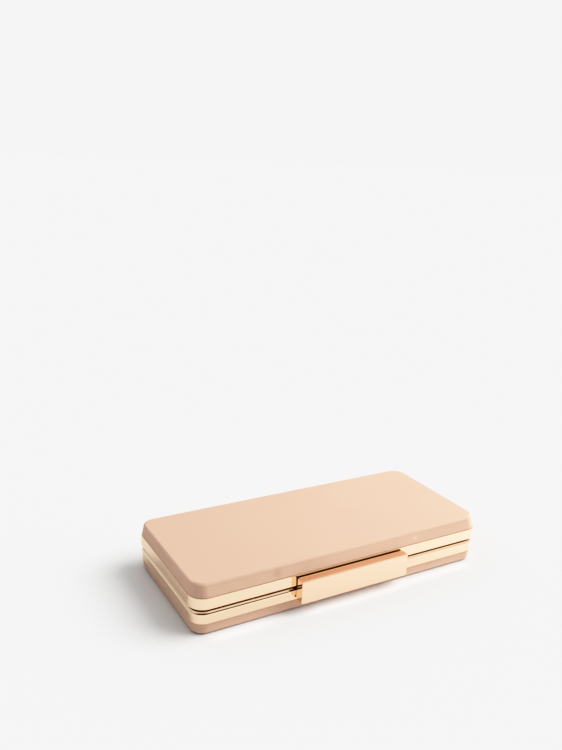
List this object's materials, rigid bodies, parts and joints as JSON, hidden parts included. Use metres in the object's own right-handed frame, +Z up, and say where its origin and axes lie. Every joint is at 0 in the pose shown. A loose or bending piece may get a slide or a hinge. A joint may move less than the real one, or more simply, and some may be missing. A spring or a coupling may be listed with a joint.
{
  "type": "box clutch",
  "caption": "Flat hard-case clutch bag: leather-covered trays rimmed with polished metal bands, a lid hinged at the back and a wide tipping bar clasp on the front.",
  "frame": {"origin": "centre of the flat bottom face that the clutch rests on, in the middle of the case's plan outline", "axes": "+Z up out of the lid, +X along the length, -Y towards the front side with the clasp, +Y towards the hinges"},
  "size_m": [0.2, 0.0987, 0.0305],
  "materials": {
    "leather": "smooth nude leather, fine grain, soft sheen",
    "gold_frame": "polished pale gold plate",
    "gold_clasp": "polished pale gold plate",
    "gold_pins": "plain pale gold plate"
  },
  "bodies": {
    "base": {"lower_shell": "leather", "lower_frame": "gold_frame", "hinge_pin_left": "gold_pins", "hinge_pin_right": "gold_pins", "clasp_pin": "gold_pins"},
    "lid": {"upper_shell": "leather", "upper_frame": "gold_frame"},
    "clasp": {"clasp_bar": "gold_clasp"}
  },
  "joints": [
    {"name": "lid_hinge", "type": "hinge", "parent": "base", "child": "lid", "pos_m": [0, 0.0464, 0.01555], "axis": [-1, 0, 0], "range_deg": [0, 100]},
    {"name": "clasp_lever", "type": "hinge", "parent": "base", "child": "clasp", "pos_m": [0, -0.0465, 0.0104], "axis": [1, 0, 0], "range_deg": [0, 25], "stiffness_Nm_per_rad": 0.02, "springref_deg": -28.65}
  ]
}
